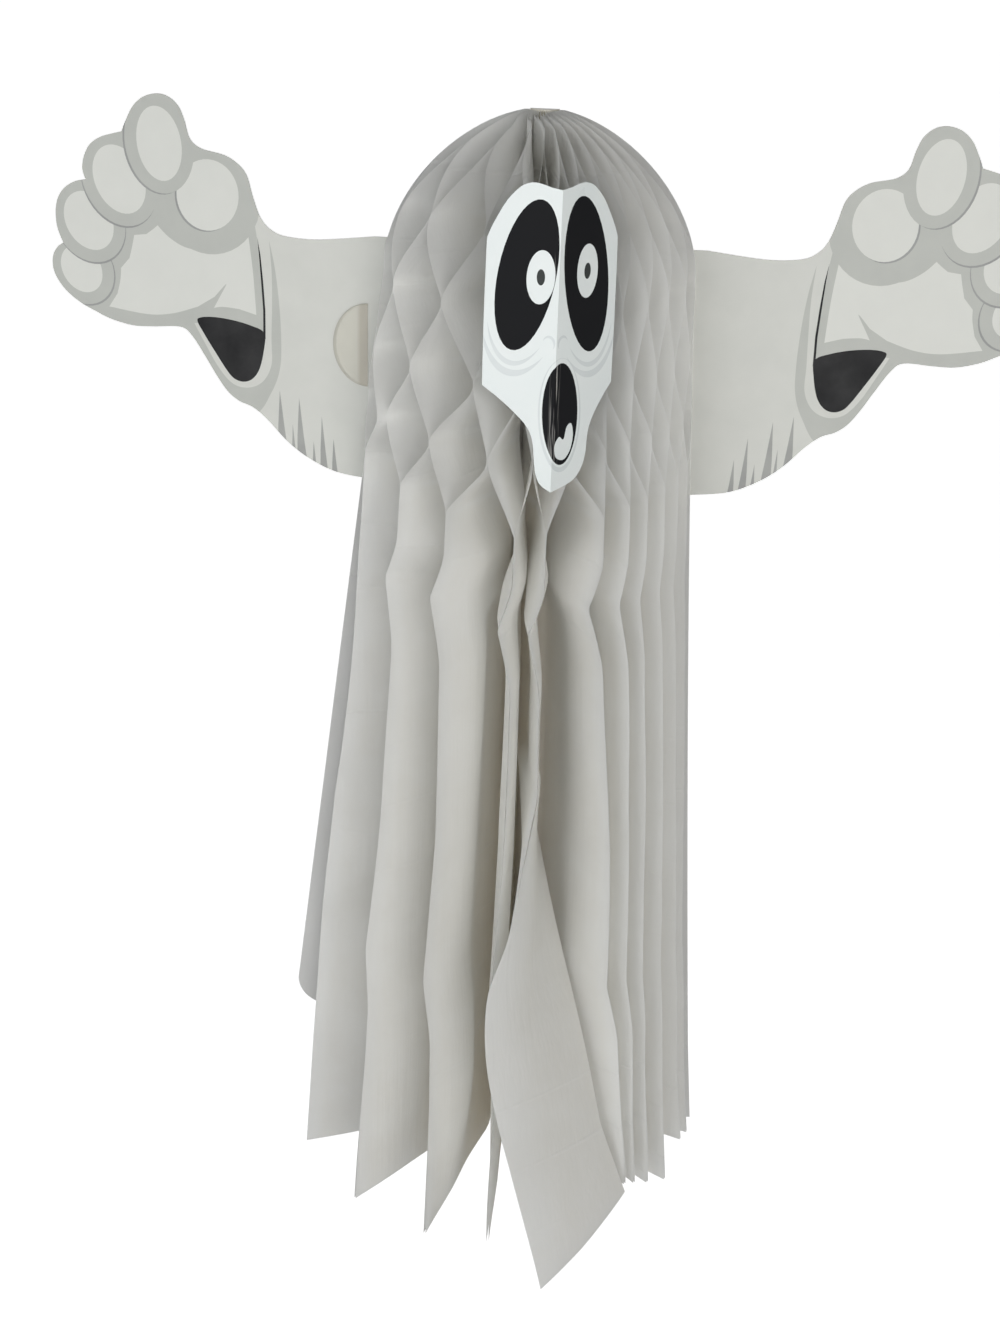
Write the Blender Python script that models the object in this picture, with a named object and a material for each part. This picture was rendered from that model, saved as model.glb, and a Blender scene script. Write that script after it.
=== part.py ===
"""Honeycomb paper ghost: a half fan of white tissue leaves on a card band with two hands.

Metres, +Z up. The back edge of the fan (its spine) is the Z axis and the card lies in the XZ plane.
The origin is the top of the spine, from which the ghost hangs. Heights in this script are measured
from the middle of the hem, and add_object moves each piece down to the hanging point.
Fan angles are in degrees: 0 points to -X, 90 to -Y (the front), 180 to +X.
Run with: blender --background --python part.py
"""
import math

import bmesh
import bpy
from mathutils import Vector

# Overall sizes of the tissue fan.
HEIGHT = 0.5565           # top of the head above the middle of the hem
HEAD_RADIUS = 0.0726      # the head is a rounded quarter of the body's radius
HEAD_POWER = 1.75         # 2 would make it a circle, less makes its shoulders flatter
HEM_RADIUS = 0.1035       # radius at the bottom of the skirt
HEM_RISE = 0.014          # how much higher the hem ends at the spine
HEM_TILT = 0.09           # the whole hem slopes up towards +X
HEM_LIFTS = {5: 0.018, 6: 0.015, 7: 0.009, 9: 0.014, 10: 0.009}   # these pairs end higher
LEFT_FLARE = 0.0045       # the leaves at the left reach further out below the shoulder
FLARE_DROP = 0.060
HEM_FLARE = 0.0060        # and their lower half further still

# Tissue leaves.
TISSUE = 0.0003           # modelled thickness of one leaf
LEAF_GAP = 0.0003         # clear space between two leaves that are glued together
SPINE_RADIUS = 0.0070     # leaves start here, outside the bead of glue
SPREAD_RADIUS = 0.025     # from here outwards a leaf runs straight

# Glue lines.
FIRST_GLUE = 0.0108       # first glue line below the top
GLUE_PITCH = 0.0341       # from one glue line to the next
GLUE_HALF = 0.0045        # half the height of a glue line
GLUE_LINES = 6
SIDE_LIFT = 0.05          # glue lines at the sides of the fan sit higher by this share
LOW_LIFT = 0.06           # and the lowest line by this share more

# Where the glued pairs of leaves stand around the fan: in the head, at the lowest glue line and at the hem.
PAIR_ANGLES = (14.0, 43.0, 71.0, 88.0, 98.0, 108.0, 118.0, 129.0, 140.0, 151.0, 167.0)
SKIRT_ANGLES = (13.0, 41.0, 63.0, 87.5, 98.5, 118.5, 128.5, 137.0, 146.5, 156.0, 167.0)
HEM_ANGLES = (9.5, 41.5, 68.5, 88.5, 98.0, 130.5, 134.5, 139.5, 149.0, 158.5, 166.0)
SHEETS = 2 * len(PAIR_ANGLES) + 2

# Soft bends that old glue lines leave in the hanging skirt: height, half height and strength,
# and how far each pair swings at full strength, in degrees.
WAVES = ((0.344, 0.018, 1.0), (0.140, 0.028, 0.55))
SWINGS = (-2.5, -6.0, -4.5, -4.0, -4.0, -4.0, -3.5, -3.0, -2.5, -2.5, -2.0)

# The front pair has come off the spine low down and hangs twisted: height, inner and outer edge.
TWISTED_PAIR = 4
TWIST_TOP = 0.250
TWIST_STATIONS = (
    (0.184, Vector((0.0185, -0.050)), Vector((0.002, -0.100))),
    (0.150, Vector((0.0275, -0.056)), Vector((-0.0072, -0.107))),
    (0.100, Vector((0.042, -0.070)), Vector((-0.0032, -0.114))),
    (0.0, Vector((0.0667, -0.083)), Vector((0.0256, -0.124))),
)
TWIST_HEM = (0.022, -0.010)   # height of its hem at the inner and the outer edge

# The left end leaf swings out and its lower corner is rounded and shorter.
END_LEAF_HEM = 0.070
END_LEAF_RADIUS = 0.119
END_LEAF_CORNER = 0.016

# Card band with the two hands. Reaches are measured outwards from the crease of the arm,
# rises upwards from the arm's top edge.
CARD = 0.0005
CARD_GAP = 0.0003
CREASE_CLEARANCE = 0.0046
CREASE = HEAD_RADIUS + CREASE_CLEARANCE
CARD_FRONT = 0.5 * TISSUE + CARD_GAP
LEFT_BEND = 5.0           # the left arm bends back by this angle
RIGHT_BEND = 0.5
ARM_DROP = 0.0610         # the arm's top edge below the top of the head
ARM_WIDTH = 0.1180        # width of the band
ARM_TOP = HEIGHT - ARM_DROP
ARM_BOTTOM = ARM_TOP - ARM_WIDTH

# The hand's outline in stretches that meet at the notches between the fingers, as reach and rise.
WRIST = ((0.0, 0.0), (0.0270, -0.0030), (0.0430, -0.0023), (0.0502, 0.0007), (0.0547, 0.0060),
         (0.0579, 0.0150), (0.0606, 0.0245))
THUMB = ((0.0650, 0.0297), (0.0715, 0.0333), (0.0820, 0.0356), (0.0873, 0.0397))
INDEX = ((0.0897, 0.0480), (0.0923, 0.0540), (0.0969, 0.0580), (0.1025, 0.0592), (0.1090, 0.0575),
         (0.1143, 0.0530), (0.1180, 0.0465), (0.1203, 0.0415))
MIDDLE = ((0.1203, 0.0415), (0.1260, 0.0400), (0.1312, 0.0383), (0.1362, 0.0348), (0.1393, 0.0294),
          (0.1405, 0.0235), (0.1392, 0.0187))
RING = ((0.1392, 0.0187), (0.1449, 0.0174), (0.1502, 0.0140), (0.1537, 0.0090), (0.1551, 0.0024),
        (0.1547, -0.0048), (0.1523, -0.0116))
LITTLE = ((0.1523, -0.0116), (0.1554, -0.0139), (0.1579, -0.0183), (0.1581, -0.0244), (0.1559, -0.0298),
          (0.1517, -0.0351), (0.1450, -0.0402), (0.1374, -0.0440))
PALM = ((0.1299, -0.0472), (0.1195, -0.0495), (0.1093, -0.0494), (0.0955, -0.0487), (0.0898, -0.0528),
        (0.0834, -0.0628), (0.0776, -0.0725), (0.0724, -0.0795), (0.0670, -0.0835), (0.0605, -0.0860))
SLEEVE = ((0.0535, 0.0265), (0.0425, 0.0152), (0.0307, 0.0072), (0.0175, 0.0020), (0.0, 0.0))

# Face card, folded on its middle line.
FACE_X = 0.0125
FACE_DROP = 0.0205        # the card's top edge below the top of the head
FACE_HEIGHT = 0.1320
FACE_HALF = 0.0325        # half the card's real width
CHIN_LEFT = 0.0082        # the chin reaches less far to the left of the crease than to the right
CHIN_RIGHT = 0.0194
CHEEK_RISE = 0.0450       # the corner of the cheek above the chin
FACE_LEFT_TURN = 12.0     # how far each half turns back from the crease
FACE_RIGHT_TURN = 43.0
FACE_TOP = HEIGHT - FACE_DROP
FACE_BOTTOM = FACE_TOP - FACE_HEIGHT
FACE_SEAT = FACE_BOTTOM + CHEEK_RISE

# Clear round seal that once closed the packed ghost, cut at the arm's crease.
SEAL_RADIUS = 0.0200
SEAL_REACH = 0.0170       # how far the remnant reaches out from its straight side
SEAL_DROP = 0.0515        # its middle below the arm's top edge
SEAL_MARGIN = 0.0030      # clear of the crease and of the end leaf
SEAL_THICK = 0.0002

BEAD_RADIUS = SPINE_RADIUS - LEAF_GAP
SPINE_SHARE = (SPINE_RADIUS / HEAD_RADIUS) ** HEAD_POWER
HANG_HEIGHT = HEIGHT - HEAD_RADIUS + HEAD_RADIUS * (1.0 - SPINE_SHARE) ** (1.0 / HEAD_POWER)
SKIRT_ROWS = (0.344, 0.325, 0.285, 0.250, 0.217, 0.184, 0.150, 0.125, 0.100, 0.065, 0.030)
HEAD_STEPS = 4
CURVE_STEPS = 2           # straight pieces between two points of a curved outline


def clear_scene():
    for thing in list(bpy.data.objects):
        bpy.data.objects.remove(thing, do_unlink=True)


def make_material(name, colour, roughness):
    material = bpy.data.materials.new(name)
    material.use_nodes = True
    shader = material.node_tree.nodes["Principled BSDF"]
    shader.inputs["Base Color"].default_value = (*colour, 1.0)
    shader.inputs["Roughness"].default_value = roughness
    shader.inputs["Metallic"].default_value = 0.0
    material.diffuse_color = (*colour, 1.0)
    return material


def add_object(name, bm, material):
    bmesh.ops.recalc_face_normals(bm, faces=bm.faces)
    mesh = bpy.data.meshes.new(name)
    bm.to_mesh(mesh)
    bm.free()
    mesh.materials.append(material)
    thing = bpy.data.objects.new(name, mesh)
    thing.location.z = -HANG_HEIGHT
    bpy.context.collection.objects.link(thing)
    return thing


def smooth(value):
    value = min(1.0, max(0.0, value))
    return value * value * (3.0 - 2.0 * value)


def mix(start, end, share):
    return start + (end - start) * share


def direction(angle):
    """Unit vector from the spine at a fan angle, seen from above."""
    turn = math.radians(angle)
    return Vector((-math.cos(turn), -math.sin(turn)))


def outline_radius(z):
    """The cut line of a leaf: a rounded head, then a skirt that widens."""
    shoulder = HEIGHT - HEAD_RADIUS
    if z > shoulder:
        share = min(1.0, (z - shoulder) / HEAD_RADIUS)
        return HEAD_RADIUS * (1.0 - share ** HEAD_POWER) ** (1.0 / HEAD_POWER)
    return mix(HEAD_RADIUS, HEM_RADIUS, ((shoulder - z) / shoulder) ** 1.2)


def head_height(radius):
    """Height at which the outline of the head has this radius."""
    share = (radius / HEAD_RADIUS) ** HEAD_POWER
    return HEIGHT - HEAD_RADIUS + HEAD_RADIUS * (1.0 - share) ** (1.0 / HEAD_POWER)


def edge_radius(sheet, z):
    """How far out the cut edge of a sheet hangs."""
    edge = outline_radius(z)
    if sheet <= 2:
        edge += LEFT_FLARE * smooth((HEIGHT - HEAD_RADIUS - z) / FLARE_DROP)
    if sheet in (1, 2):
        edge += HEM_FLARE * smooth((0.55 * HEIGHT - z) / (0.30 * HEIGHT))
    return edge


def glue_height(line, angle):
    """Height of a glue line where its pair stands at this fan angle."""
    drop = FIRST_GLUE + line * GLUE_PITCH
    lift = SIDE_LIFT + LOW_LIFT * max(0.0, 0.5 * (line - GLUE_LINES + 3))
    return HEIGHT - drop * (1.0 - lift * abs(math.cos(math.radians(angle))))


def pair_angle(pair, line):
    """Fan angle of a pair at a glue line: it drifts to its place in the skirt over the last two lines."""
    drift = max(0.0, 0.5 * (line - GLUE_LINES + 3))
    return mix(PAIR_ANGLES[pair], SKIRT_ANGLES[pair], drift)


def glued_angle(sheet, line):
    """Fan angle of a sheet at a glue line, and which side of its pair it is.

    Odd lines join sheets 1+2, 3+4 and so on, even lines join sheets 0+1, 2+3 and so on.
    The end sheets lie flat on the card.
    """
    last = SHEETS - 1
    if sheet == 0:
        return 0.0, 0
    if sheet == last:
        return 180.0, 0
    if line % 2 == 1:
        return pair_angle((sheet - 1) // 2, line), (-1 if sheet % 2 == 1 else 1)
    joint = sheet // 2
    if joint == 0:
        return 0.0, 2
    if joint == len(PAIR_ANGLES):
        return 180.0, -2
    between = 0.5 * (pair_angle(joint - 1, line) + pair_angle(joint, line))
    return between, (-1 if sheet % 2 == 0 else 1)


def skirt_angle(pair, z, reach):
    """Fan angle of a hanging pair below the last glue line, at its middle or its outer edge."""
    share = smooth(1.0 - z / glue_height(GLUE_LINES - 1, SKIRT_ANGLES[pair]))
    angle = mix(SKIRT_ANGLES[pair], HEM_ANGLES[pair], share * reach)
    for height, half, strength in WAVES:
        bend = math.exp(-((z - height) / half) ** 2) * mix(0.35, 1.0, reach)
        angle += SWINGS[pair] * strength * bend
    return angle


def spine_angle(sheet):
    """Fan angle at which a sheet leaves the bead of glue."""
    return 180.0 * (sheet + 0.5) / SHEETS


def leaf_point(sheet, angle, side, radius):
    """A point on the middle surface of a sheet, seen from above."""
    ease = smooth((radius - SPINE_RADIUS) / (SPREAD_RADIUS - SPINE_RADIUS))
    out = direction(mix(spine_angle(sheet), angle, ease))
    across = Vector((-out.y, out.x))
    if abs(side) == 1:
        shift = 0.5 * side * (TISSUE + LEAF_GAP) * ease
    else:
        shift = 0.5 * side * (TISSUE + LEAF_GAP)
    return out * radius + across * shift


def plain_row(sheet, z, angle, side):
    """Three points of a sheet at one height: at the spine, where it runs straight, at its edge."""
    edge = edge_radius(sheet, z)
    middle = min(SPREAD_RADIUS, 0.5 * (SPINE_RADIUS + edge))
    inner_angle = angle
    if isinstance(angle, tuple):
        inner_angle, angle = angle
    points = [leaf_point(sheet, inner_angle, side, SPINE_RADIUS)]
    points.append(leaf_point(sheet, inner_angle, side, middle))
    points.append(leaf_point(sheet, angle, side, edge))
    return [Vector((point.x, point.y, z)) for point in points]


def hem_height(sheet, point, edge):
    """The straight cut at the bottom of the skirt."""
    radius = Vector((point.x, point.y)).length
    lift = HEM_LIFTS.get((sheet - 1) // 2, 0.0)
    return HEM_RISE * (1.0 - radius / edge) + HEM_TILT * point.x + lift


def skirt_row(sheet, z):
    pair = (sheet - 1) // 2
    side = -1 if sheet % 2 == 1 else 1
    angles = (skirt_angle(pair, z, 0.5), skirt_angle(pair, z, 1.0))
    return plain_row(sheet, z, angles, side)


def twisted_row(sheet, z):
    """The front pair below the place where it has left the spine."""
    start = skirt_row(sheet, TWIST_TOP)
    stations = [(TWIST_TOP, start[0].xy, start[2].xy)] + list(TWIST_STATIONS)
    for above, below in zip(stations, stations[1:]):
        if z >= below[0]:
            share = (above[0] - z) / (above[0] - below[0])
            inner = above[1].lerp(below[1], share)
            outer = above[2].lerp(below[2], share)
            break
    along = (outer - inner).normalized()
    side = -1 if sheet % 2 == 1 else 1
    shift = Vector((-along.y, along.x)) * (0.5 * side * (TISSUE + LEAF_GAP))
    points = [inner + shift, inner.lerp(outer, 0.5) + shift, outer + shift]
    return [Vector((point.x, point.y, z)) for point in points]


def leaf_rows(sheet):
    """All rows of one sheet from the top of the head down to the hem."""
    last = SHEETS - 1
    glued = []
    for line in range(GLUE_LINES):
        angle, side = glued_angle(sheet, line)
        for offset in (GLUE_HALF, -GLUE_HALF):
            glued.append((glue_height(line, angle) + offset, angle, side))
    first_z, first_angle, first_side = glued[0]
    first_turn = math.asin(outline_radius(first_z) / HEAD_RADIUS)
    top_turn = math.asin((SPINE_RADIUS + 0.002) / HEAD_RADIUS)
    rows = []
    for step in range(HEAD_STEPS):
        turn = mix(top_turn, first_turn, step / HEAD_STEPS)
        z = head_height(HEAD_RADIUS * math.sin(turn))
        rows.append(plain_row(sheet, z, first_angle, first_side))
    rows += [plain_row(sheet, *entry) for entry in glued]
    if sheet == 0:
        return rows + end_leaf_rows()
    for z in SKIRT_ROWS + (0.0,):
        if sheet == last:
            rows.append(plain_row(sheet, z, 180.0, 0))
        elif (sheet - 1) // 2 == TWISTED_PAIR and z < TWIST_TOP:
            rows.append(twisted_row(sheet, z))
        else:
            rows.append(skirt_row(sheet, z))
    edge = rows[-1][2].xy.length
    for index, point in enumerate(rows[-1]):
        point.z = hem_height(sheet, point, edge)
        if (sheet - 1) // 2 == TWISTED_PAIR:
            point.z = mix(*TWIST_HEM, 0.5 * index)
    return rows


def end_leaf_rows():
    """The lower part of the left end leaf: it widens more and has a rounded corner."""
    rows = []
    start = glue_height(GLUE_LINES - 1, 0.0) - GLUE_HALF
    corner_top = END_LEAF_HEM + END_LEAF_CORNER
    heights = [z for z in SKIRT_ROWS if z > corner_top]
    for z in heights:
        share = (start - z) / (start - corner_top)
        rows.append((z, mix(edge_radius(0, start), END_LEAF_RADIUS, share)))
    for step in range(5):
        turn = math.radians(22.5 * step)
        edge = END_LEAF_RADIUS - END_LEAF_CORNER * (1.0 - math.cos(turn))
        rows.append((corner_top - END_LEAF_CORNER * math.sin(turn), edge))
    points = []
    for z, edge in rows:
        row = [leaf_point(0, 0.0, 0, radius) for radius in (SPINE_RADIUS, SPREAD_RADIUS, edge)]
        points.append([Vector((point.x, point.y, z)) for point in row])
    return points


def sheet_solid(rows):
    """Closed thin solid around a grid of points: faces on both sides and a rim."""
    bm = bmesh.new()
    fronts = []
    backs = []
    for row in rows:
        front = []
        back = []
        for index, point in enumerate(row):
            before = row[max(0, index - 1)]
            after = row[min(len(row) - 1, index + 1)]
            along = (after.xy - before.xy).normalized()
            across = Vector((-along.y, along.x, 0.0)) * (0.5 * TISSUE)
            front.append(bm.verts.new(point + across))
            back.append(bm.verts.new(point - across))
        fronts.append(front)
        backs.append(back)
    count = len(rows)
    width = len(rows[0])
    for r in range(count - 1):
        for c in range(width - 1):
            for grid in (fronts, backs):
                corners = (grid[r][c], grid[r][c + 1], grid[r + 1][c + 1], grid[r + 1][c])
                bm.faces.new(corners[:3])
                bm.faces.new((corners[0], corners[2], corners[3]))
    rim = [(0, c) for c in range(width)] + [(r, width - 1) for r in range(1, count)]
    rim += [(count - 1, c) for c in range(width - 2, -1, -1)] + [(r, 0) for r in range(count - 2, 0, -1)]
    for here, there in zip(rim, rim[1:] + rim[:1]):
        corners = (fronts[here[0]][here[1]], fronts[there[0]][there[1]])
        corners += (backs[there[0]][there[1]], backs[here[0]][here[1]])
        bm.faces.new(corners)
    return bm


def make_leaves(material):
    for sheet in range(SHEETS):
        bm = sheet_solid(leaf_rows(sheet))
        add_object(f"tissue_leaf_{sheet + 1:02d}", bm, material)


def make_bead(material):
    """The line of set glue that binds all leaves along the spine."""
    outline = [(BEAD_RADIUS, 0.0)]
    for step in range(1, 9):
        turn = math.pi * step / 8
        outline.append((BEAD_RADIUS * math.cos(turn), -BEAD_RADIUS * math.sin(turn)))
    bm = bmesh.new()
    low = [bm.verts.new((x, y, HEM_RISE)) for x, y in outline]
    high = [bm.verts.new((x, y, HANG_HEIGHT)) for x, y in outline]
    bm.faces.new(low)
    bm.faces.new(high)
    for index in range(len(outline)):
        other = (index + 1) % len(outline)
        bm.faces.new((low[index], low[other], high[other], high[index]))
    add_object("spine_glue_bead", bm, material)


def curve_through(points):
    """Smooth open curve through the points (Catmull-Rom), as a list of points."""
    keys = [Vector(points[0])] + [Vector(point) for point in points] + [Vector(points[-1])]
    curve = []
    for before, here, there, after in zip(keys, keys[1:], keys[2:], keys[3:]):
        for step in range(CURVE_STEPS):
            t = step / CURVE_STEPS
            bend = (2.0 * before - 5.0 * here + 4.0 * there - after) * t * t
            bend += (3.0 * here - before - 3.0 * there + after) * t * t * t
            curve.append(0.5 * (2.0 * here + (there - before) * t + bend))
    return curve + [keys[-1]]


def hand_outline():
    """Outline of one arm from the crease, over the hand and back: (x, z)."""
    points = curve_through(WRIST + THUMB + INDEX)
    for finger in (MIDDLE, RING):
        points += curve_through(finger)[1:]
    sleeve = tuple((reach, rise - ARM_WIDTH) for reach, rise in SLEEVE)
    points += curve_through(LITTLE + PALM + sleeve)[1:]
    return [(CREASE + reach, ARM_TOP + rise) for reach, rise in points]


def bend_back(point, side, angle):
    """Turn a point of one arm back around its crease."""
    turn = math.radians(angle)
    depth = point.y - CARD_FRONT
    reach = abs(point.x) - CREASE
    new_reach = reach * math.cos(turn) - depth * math.sin(turn)
    new_depth = reach * math.sin(turn) + depth * math.cos(turn)
    return Vector((side * (CREASE + new_reach), CARD_FRONT + new_depth, point.z))


def make_arm_card(material):
    """One card band behind the fan with both arms and hands."""
    bm = bmesh.new()
    arm = hand_outline()
    band = [(-CREASE, ARM_TOP), (-CREASE, ARM_BOTTOM), (CREASE, ARM_BOTTOM), (CREASE, ARM_TOP)]
    left = [(-x, z) for x, z in reversed(arm)]
    layers = []
    for y in (CARD_FRONT, CARD_FRONT + CARD):
        verts = {}
        for x, z in band + arm + left:
            key = (round(x, 7), round(z, 7))
            if key in verts:
                continue
            point = Vector((x, y, z))
            if x > CREASE:
                point = bend_back(point, 1, RIGHT_BEND)
            if x < -CREASE:
                point = bend_back(point, -1, LEFT_BEND)
            verts[key] = bm.verts.new(point)
        for outline in (band, arm, left):
            bm.faces.new([verts[(round(x, 7), round(z, 7))] for x, z in outline])
        layers.append(verts)
    ring = left + arm
    for here, there in zip(ring, ring[1:] + ring[:1]):
        first = (round(here[0], 7), round(here[1], 7))
        second = (round(there[0], 7), round(there[1], 7))
        corners = (layers[0][first], layers[0][second], layers[1][second], layers[1][first])
        bm.faces.new(corners)
    add_object("arm_card", bm, material)


def face_outline(chin):
    """Half of the face card: distance from the crease and height. chin is how far the chin reaches."""
    half = FACE_HALF
    top = FACE_TOP
    cheek = FACE_BOTTOM + CHEEK_RISE
    points = [(0.0, top - 0.0022), (0.14 * half, top - 0.0015), (0.29 * half, top - 0.0002)]
    points += [(0.41 * half, top), (0.55 * half, top - 0.0019), (0.71 * half, top - 0.0072)]
    points += [(0.84 * half, top - 0.0140), (0.96 * half, top - 0.0220), (0.985 * half, top - 0.0280)]
    points += [(half, top - 0.0600), (half, cheek), (mix(half, chin, 0.28), cheek - 0.0045)]
    points += [(mix(half, chin, 0.60), cheek - 0.0105), (mix(half, chin, 0.85), cheek - 0.0165)]
    points += [(mix(half, chin, 0.96), cheek - 0.0225), (chin, cheek - 0.0300)]
    points += [(0.88 * chin, FACE_BOTTOM + 0.0080), (0.60 * chin, FACE_BOTTOM + 0.0030), (0.0, FACE_BOTTOM)]
    return points


def make_face_card(material):
    """The face, folded forward along its middle line, both halves swept back."""
    left_turn = math.radians(FACE_LEFT_TURN)
    right_turn = math.radians(FACE_RIGHT_TURN)
    edge_x = FACE_X + FACE_HALF * math.cos(right_turn)
    seat_radius = outline_radius(FACE_SEAT) + 0.5 * TISSUE + CARD_GAP
    edge_y = -math.sqrt(seat_radius ** 2 - edge_x ** 2) - CARD
    ridge_y = edge_y - FACE_HALF * math.sin(right_turn)
    left_way = Vector((-math.cos(left_turn), math.sin(left_turn)))
    right_way = Vector((math.cos(right_turn), math.sin(right_turn)))
    ways = (left_way, right_way)
    bisector = (ways[0] + ways[1]).normalized()
    half_angle = math.acos(max(-1.0, min(1.0, ways[0].dot(ways[1])))) / 2.0
    outlines = (face_outline(CHIN_LEFT), face_outline(CHIN_RIGHT))
    bm = bmesh.new()
    layers = []
    for depth in (0.0, CARD):
        halves = []
        ridge = Vector((FACE_X, ridge_y)) + bisector * (depth / math.sin(half_angle))
        top = bm.verts.new((ridge.x, ridge.y, outlines[0][0][1]))
        bottom = bm.verts.new((ridge.x, ridge.y, outlines[0][-1][1]))
        for way, outline in zip(ways, outlines):
            normal = Vector((-way.y, way.x))
            if normal.dot(bisector) < 0.0:
                normal = -normal
            verts = [top]
            for reach, z in outline[1:-1]:
                place = Vector((FACE_X, ridge_y)) + way * reach + normal * depth
                verts.append(bm.verts.new((place.x, place.y, z)))
            verts.append(bottom)
            bm.faces.new(verts)
            halves.append(verts)
        layers.append(halves)
    for near, far in zip(*layers):
        for index in range(len(near) - 1):
            bm.faces.new((near[index], near[index + 1], far[index + 1], far[index]))
    add_object("face_card", bm, material)


def make_seal(material):
    """Half of a clear round seal on the left arm, its straight side at the arm's crease."""
    start = CREASE + SEAL_MARGIN
    middle = ARM_TOP - SEAL_DROP
    front = CARD_FRONT - CARD_GAP - SEAL_THICK
    bm = bmesh.new()
    layers = []
    for y in (front, front + SEAL_THICK):
        ring = []
        for step in range(13):
            turn = math.pi * (step / 12 - 0.5)
            x = start + SEAL_REACH * math.cos(turn)
            z = middle + SEAL_RADIUS * math.sin(turn)
            point = bend_back(Vector((-x, y, z)), -1, LEFT_BEND)
            ring.append(bm.verts.new(point))
        bm.faces.new(ring)
        layers.append(ring)
    count = len(layers[0])
    for index in range(count):
        other = (index + 1) % count
        bm.faces.new((layers[0][index], layers[0][other], layers[1][other], layers[1][index]))
    add_object("seal_remnant", bm, material)


def main():
    clear_scene()
    tissue = make_material("white_tissue", (0.82, 0.82, 0.79), 0.9)
    glue = make_material("clear_glue", (0.78, 0.76, 0.68), 0.4)
    card = make_material("white_card", (0.80, 0.81, 0.78), 0.6)
    face = make_material("coated_card", (0.84, 0.87, 0.86), 0.35)
    film = make_material("aged_film", (0.80, 0.77, 0.66), 0.25)
    make_leaves(tissue)
    make_bead(glue)
    make_arm_card(card)
    make_face_card(face)
    make_seal(film)


main()
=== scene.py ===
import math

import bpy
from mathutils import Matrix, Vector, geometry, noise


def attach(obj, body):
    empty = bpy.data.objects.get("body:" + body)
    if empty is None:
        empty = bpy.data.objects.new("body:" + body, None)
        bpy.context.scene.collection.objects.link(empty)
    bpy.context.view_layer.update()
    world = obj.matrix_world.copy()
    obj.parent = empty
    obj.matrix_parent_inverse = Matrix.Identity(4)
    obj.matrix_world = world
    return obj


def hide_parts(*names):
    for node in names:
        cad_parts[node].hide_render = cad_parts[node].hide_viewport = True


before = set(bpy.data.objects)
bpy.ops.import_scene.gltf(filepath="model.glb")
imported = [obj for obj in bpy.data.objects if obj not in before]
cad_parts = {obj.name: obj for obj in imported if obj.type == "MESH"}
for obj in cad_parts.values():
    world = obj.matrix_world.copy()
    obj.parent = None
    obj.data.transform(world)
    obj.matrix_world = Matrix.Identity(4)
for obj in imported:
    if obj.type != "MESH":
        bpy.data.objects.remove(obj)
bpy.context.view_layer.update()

# Honeycomb paper ghost: tissue leaves, printed card arms and face, and the studio round them.
# Heights are measured from the middle of the hem, and HANG_HEIGHT moves them down to the hanging point.
# Fan angles are in degrees: 0 points to -X, 90 to -Y (the front), 180 to +X.

# Tissue fan, the same sizes as the solids.
HEIGHT = 0.5565
HEAD_RADIUS = 0.0726
HEAD_POWER = 1.75
HEM_RADIUS = 0.1035
HEM_RISE = 0.014
HEM_TILT = 0.09
HEM_LIFTS = {5: 0.018, 6: 0.015, 7: 0.009, 9: 0.014, 10: 0.009}   # these pairs end higher
LEFT_FLARE = 0.0045
FLARE_DROP = 0.060
HEM_FLARE = 0.0060
HEM_FADE = 0.060          # the slopes of the hem are spread over this height
SPINE_RADIUS = 0.0070
SPREAD_RADIUS = 0.025
SHOULDER = HEIGHT - HEAD_RADIUS
SPINE_SHARE = (SPINE_RADIUS / HEAD_RADIUS) ** HEAD_POWER
HANG_HEIGHT = SHOULDER + HEAD_RADIUS * (1.0 - SPINE_SHARE) ** (1.0 / HEAD_POWER)
LEAF_PITCH = 0.0002       # between the middle surfaces of two leaves that touch

# Glue lines and the pairs of leaves that they join.
FIRST_GLUE = 0.0108
GLUE_PITCH = 0.0341
GLUE_HALF = 0.0022
GLUE_LINES = 6
SIDE_LIFT = 0.05
LOW_LIFT = 0.06
PAIR_ANGLES = (14.0, 43.0, 71.0, 88.0, 98.0, 108.0, 118.0, 129.0, 140.0, 151.0, 167.0)
SKIRT_ANGLES = (13.0, 41.0, 63.0, 87.5, 98.5, 118.5, 128.5, 137.0, 146.5, 156.0, 167.0)
HEM_ANGLES = (9.5, 41.5, 68.5, 88.5, 98.0, 130.5, 134.5, 139.5, 149.0, 158.5, 166.0)
SHEETS = 2 * len(PAIR_ANGLES) + 2

# Bends that old glue lines leave in the skirt: height, reach above and below it, swing in degrees.
KINKS = ((0.344, 0.016, 0.024, 1.0), (0.143, 0.060, 0.024, 0.55))
KINK_SWING = (-2.5, -6.5, -5.0, -4.5, -5.0, -5.5, -3.5, -3.0, -2.5, -2.5, -2.0)
LOW_KINKS = {3: 0.010, 4: 0.012}   # the front pairs bend this much lower

# How far the two leaves of a hanging pair bulge apart, as shares of the gap to the next pair.
POCKET_DROP = 0.028       # the widest place below the last glue line
POCKET_FADE = 0.030       # the bulge has shrunk this far below it
POCKET_SHARE = 0.92
SMALL_POCKETS = {7: 0.50, 10: 0.40}   # two sheets at the front bulge less
BULGE_SHARE = 0.30
OPEN_BULGES = {6: 0.70, 8: 0.60}   # two sheets at the front stand further out
OPEN_TOP = 0.335          # below this height the space behind a bulge is open
FOLD_DEPTH = 0.36         # share of the leaf's width at which a sheet folds back
BULGE_MARGIN = 0.36       # share of the leaf's width over which the bulge rises from the cut edge
HEM_SPLAY = 0.0005        # the two tips of a pair come apart by this much

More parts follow.
